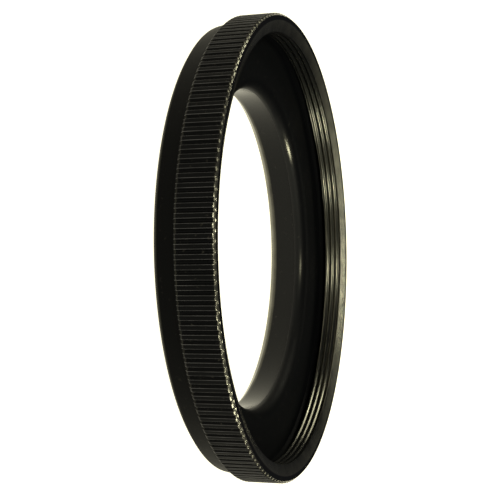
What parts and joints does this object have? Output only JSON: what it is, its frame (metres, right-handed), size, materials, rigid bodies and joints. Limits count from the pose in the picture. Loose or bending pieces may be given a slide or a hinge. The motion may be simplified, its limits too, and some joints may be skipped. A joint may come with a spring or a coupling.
{
  "type": "step-up ring",
  "caption": "One-piece lens thread adapter: knurled grip band with a large front thread, dished inside wall, round light path and a smaller rear thread.",
  "frame": {"origin": "on the ring's axis, at the end of the rear thread, which it lies on", "axes": "+Z along the ring's axis, out of its front; +X through the middle of one knurl tooth"},
  "size_m": [0.062, 0.062, 0.0099],
  "materials": {
    "black_anodised": "satin black anodised, worn bright at the front edge"
  },
  "bodies": {
    "root": {"step_up_ring": "black_anodised"}
  },
  "joints": []
}
